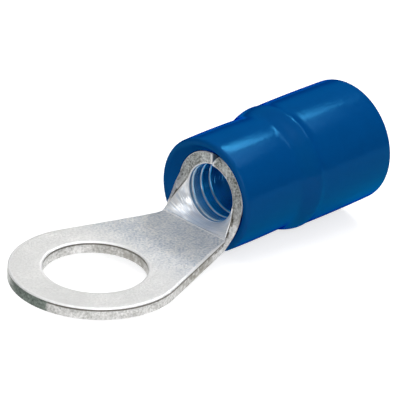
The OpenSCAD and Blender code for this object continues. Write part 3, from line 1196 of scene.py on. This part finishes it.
def turn_profile(profile, sides):
    """Points and quads of the profile, turned about the axis of the barrel."""
    count = len(profile)
    verts, faces = [], []
    for k in range(sides):
        turn = 2 * math.pi * k / sides
        sine, cosine = math.sin(turn), math.cos(turn)
        verts += [np.array((x, r * sine, AXIS_Z + r * cosine)) for r, x in profile]
        here, there = k * count, (k + 1) % sides * count
        for i in range(count):
            j = (i + 1) % count
            faces.append((here + i, here + j, there + j, there + i))
    return verts, faces


verts, faces = turn_profile(sleeve_profile(), SLEEVE_SIDES)
sleeve = mesh_object("moulded_sleeve", verts, faces, [plastic], [0] * len(faces),
                     sharp=SLEEVE_SHARP)
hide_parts("sleeve")
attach(sleeve, "root")

# %% [markdown]
# ## White paper
# The table is covered with plain paper. White paint alone renders grey, because no surface
# gives back all light, and more light on it would also bleach the part. So the paper is lifted
# to full white for the camera and for reflections only, while its shadow stays.
# %% Paper finish
FIBRE_GRAIN = {"grain_mm": 0.8, "contrast": 1.0, "blotches": 0.5}
PAPER_DARK, PAPER_LIGHT = (0.60, 0.60, 0.60), (0.63, 0.63, 0.63)
PAPER_LIFT = 0.72


def make_paper():
    material, tree, shader = start_material("white_paper")
    fibres = add_grain(tree, place_mm(tree), **FIBRE_GRAIN)
    colour = tint(tree, fibres["Mask"], PAPER_DARK, PAPER_LIGHT)
    tree.links.new(colour, shader.inputs["Base Color"])
    shader.inputs["Roughness"].default_value = 0.9
    shader.inputs["Specular IOR Level"].default_value = 0.0
    rays = add_node(tree, "ShaderNodeLightPath").outputs
    seen = maths(tree, "MAXIMUM", rays["Is Camera Ray"], rays["Is Glossy Ray"])
    seen = maths(tree, "MAXIMUM", seen, rays["Is Transmission Ray"])
    shader.inputs["Emission Color"].default_value = (1, 1, 1, 1)
    lift = maths(tree, "MULTIPLY", seen, PAPER_LIFT)
    tree.links.new(lift, shader.inputs["Emission Strength"])
    return material


paper = make_paper()
print("made", paper.name, "with", len(paper.node_tree.nodes), "nodes")

# %% [markdown]
# ## The table
# The part touches a table with two places only, the tip of the ring and the lip of the sleeve.
# The part could be tilted until it lies flat on a level floor, but it has to stay in its own
# frame, so the table is tilted instead. Seen from the tip, the lip's lowest point is the one
# that lies steepest below it.
# %% Lay the table
TABLE_HALF, TABLE_GAP_MM = 1.5, 0.03


def contact_places():
    """The places of the ring and of the sleeve that touch the table."""
    tip = Vector((terminal_low[0], 0, 0)) * MM
    touch = max((v.co for v in sleeve.data.vertices), key=lambda p: -p.z / (p.x - tip.x))
    return tip, touch


def add_table():
    """A square with its middle under the tip of the ring."""
    tip, touch = contact_places()
    along, across = (touch - tip).normalized(), Vector((0, 1, 0))
    centre = tip - along.cross(across) * TABLE_GAP_MM * MM
    corners = [centre + (along * a + across * b) * TABLE_HALF
               for a, b in ((-1, -1), (1, -1), (1, 1), (-1, 1))]
    mesh = bpy.data.meshes.new("table")
    mesh.from_pydata([tuple(c) for c in corners], [], [(0, 1, 2, 3)])
    mesh.materials.append(paper)
    table = bpy.data.objects.new("table", mesh)
    bpy.context.scene.collection.objects.link(table)
    fall = math.degrees(math.atan2(-along.z, along.x))
    print("the table falls by", round(fall, 2), "degrees and touches x =", round(touch.x / MM, 2))
    return table


table = add_table()

# %% [markdown]
# ## The room
# Metal and gloss show what stands round them, so the room matters more than the lamps. Its walls
# are dim, its ceiling is brighter, and one bright stretch of wall stands where the flat tongue
# mirrors it towards the camera. The room could be built from boards, but the world shader draws
# it too, and costs no geometry. The camera itself sees plain white behind the table.
# %% Build the room
CEILING, WALLS, BRIGHT_WALL = 0.75, 0.2, 0.8
CEILING_FADE = [math.sin(math.radians(height)) for height in (50, 58)]
BRIGHT_AZIMUTH, BRIGHT_ELEVATION = 50, 33
BRIGHT_FADE = (0.87, 0.97)


def direction(azimuth, elevation):
    """The way to a place in the room; azimuth 0 is along the part, 90 is its +Y side."""
    a, e = math.radians(azimuth), math.radians(elevation)
    return Vector((math.cos(a) * math.cos(e), math.sin(a) * math.cos(e), math.sin(e)))


def add_room():
    world = bpy.data.worlds.new("studio")
    bpy.context.scene.world = world
    world.use_nodes = True
    tree = world.node_tree
    background = next(n for n in tree.nodes if n.type == "BACKGROUND")
    background.inputs["Color"].default_value = (1, 1, 1, 1)
    way = add_node(tree, "ShaderNodeTexCoord").outputs["Generated"]
    near_bright = add_node(tree, "ShaderNodeVectorMath", {
        0: way, 1: direction(BRIGHT_AZIMUTH, BRIGHT_ELEVATION)}, operation="DOT_PRODUCT")
    walls = spread(tree, near_bright.outputs["Value"], WALLS, BRIGHT_WALL, BRIGHT_FADE, smooth=True)
    height = add_node(tree, "ShaderNodeSeparateXYZ", {0: way}).outputs["Z"]
    room = blend(tree, fade_in(tree, height, CEILING_FADE, smooth=True), walls, CEILING)
    camera_ray = add_node(tree, "ShaderNodeLightPath").outputs["Is Camera Ray"]
    tree.links.new(blend(tree, camera_ray, room, 1.0), background.inputs["Strength"])
    return world


studio = add_room()
print("made the room", studio.name)

# %% [markdown]
# ## The lamps
# Four soft boxes finish the light. A key strip and a longer, weaker strip beside it draw the
# shine along the top of the sleeve. An overhead box fills the curl of the neck. A large box on the
# camera's side lifts the edges that face it. A lamp could be set by its power in watts, but a
# larger lamp of the same power is dimmer. Here a box's size is given in degrees as the part
# sees it, and its strength as the brightness of its face, so that it compares with the walls.
# %% Hang the lamps
LAMP_DISTANCE = 0.6
SOFT_BOXES = {
    "key_strip": {"azimuth": 17, "elevation": 48.6, "size": (14, 5), "brightness": 20.0},
    "wide_strip": {"azimuth": -4, "elevation": 50.5, "size": (46, 8), "brightness": 5.0},
    "overhead_box": {"azimuth": 180, "elevation": 80, "size": (40, 40), "brightness": 1.4},
    "fill_box": {"azimuth": -120, "elevation": 35, "size": (40, 30), "brightness": 2.9},
}


def add_panel(name, azimuth, elevation, size, brightness):
    """A soft box that faces the middle of the part."""
    data = bpy.data.lights.new(name, "AREA")
    data.shape = "RECTANGLE"
    data.size, data.size_y = (math.radians(side) * LAMP_DISTANCE for side in size)
    data.energy = brightness * math.pi * data.size * data.size_y
    lamp = bpy.data.objects.new(name, data)
    way = direction(azimuth, elevation)
    middle = Vector(((cad_low[0] + cad_high[0]) / 2, 0, AXIS_Z * MM))
    lamp.location = middle + way * LAMP_DISTANCE
    lamp.rotation_mode = "QUATERNION"
    lamp.rotation_quaternion = way.to_track_quat("Z", "Y")
    lamp.visible_camera = False
    bpy.context.scene.collection.objects.link(lamp)
    return lamp


lamps = [add_panel(name, **settings) for name, settings in SOFT_BOXES.items()]
print({lamp.name: round(lamp.data.energy, 2) for lamp in lamps}, "W")
